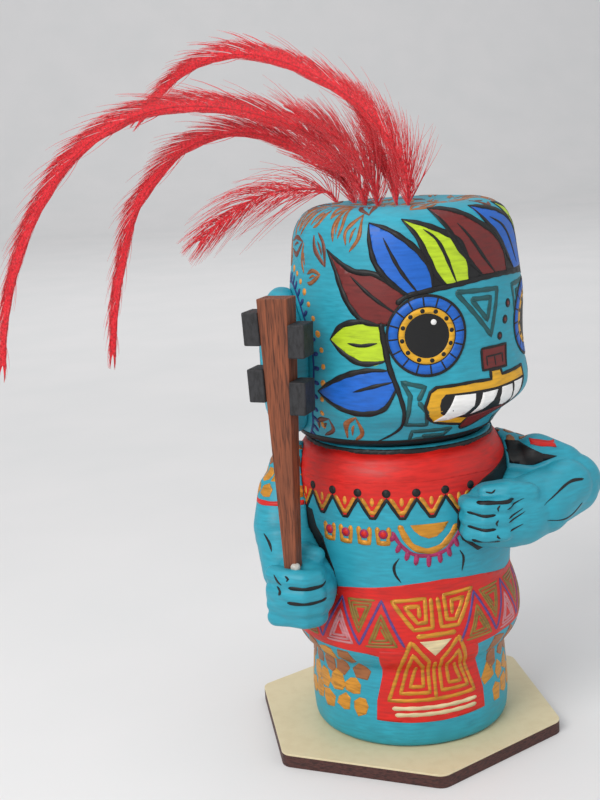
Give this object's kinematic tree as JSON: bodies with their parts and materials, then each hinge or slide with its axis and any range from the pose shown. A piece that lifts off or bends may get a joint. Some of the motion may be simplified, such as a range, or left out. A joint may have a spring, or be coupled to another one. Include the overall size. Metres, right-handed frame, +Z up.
{
  "type": "painted figurine",
  "caption": "Hand-painted wooden figurine with a turning drum-shaped head, long feather crest and toothed wooden club, on a hexagonal stand",
  "frame": {"origin": "on the turned body's axis, on the stand's underside", "axes": "+Z up; the figure's front is -Y; its right hand is at -X"},
  "size_m": [0.1264, 0.0774, 0.1503],
  "materials": {
    "board_edge": "raw fibreboard, laser-darkened edge",
    "cream_laminate": "satin laminate",
    "screw_steel": "zinc plated",
    "acrylic_paint": "satin acrylic paint over carved wood",
    "bare_wood": "plain dowel",
    "club_wood": "oiled dark wood",
    "black_tooth": "matt black paint",
    "glue": "dried glue",
    "red_feather": "dyed hackle feather"
  },
  "bodies": {
    "figure_body": {"base_board": "board_edge", "base_top_laminate": "cream_laminate", "base_screws": "screw_steel", "body_core": "acrylic_paint", "neck_dowel": "bare_wood", "right_arm": "acrylic_paint", "right_arm_dowel": "bare_wood", "left_arm": "acrylic_paint", "left_arm_dowel": "bare_wood", "club_shaft": "club_wood", "club_tooth_outer_upper": "black_tooth", "club_tooth_outer_lower": "black_tooth", "club_tooth_inner_upper": "black_tooth", "club_tooth_inner_lower": "black_tooth", "club_glue_bead": "glue"},
    "head": {"head_block": "acrylic_paint", "ear_right": "acrylic_paint", "ear_left": "acrylic_paint", "feather_front_long": "red_feather", "feather_middle_long": "red_feather", "feather_rear_long": "red_feather", "feather_front_fluff": "red_feather", "feather_middle_fluff": "red_feather", "feather_rear_fluff": "red_feather"}
  },
  "joints": [
    {"name": "head_turn", "type": "hinge", "parent": "figure_body", "child": "head", "pos_m": [0, 0, 0.07], "axis": [0, 0, 1], "range_deg": [-40, 3]}
  ]
}
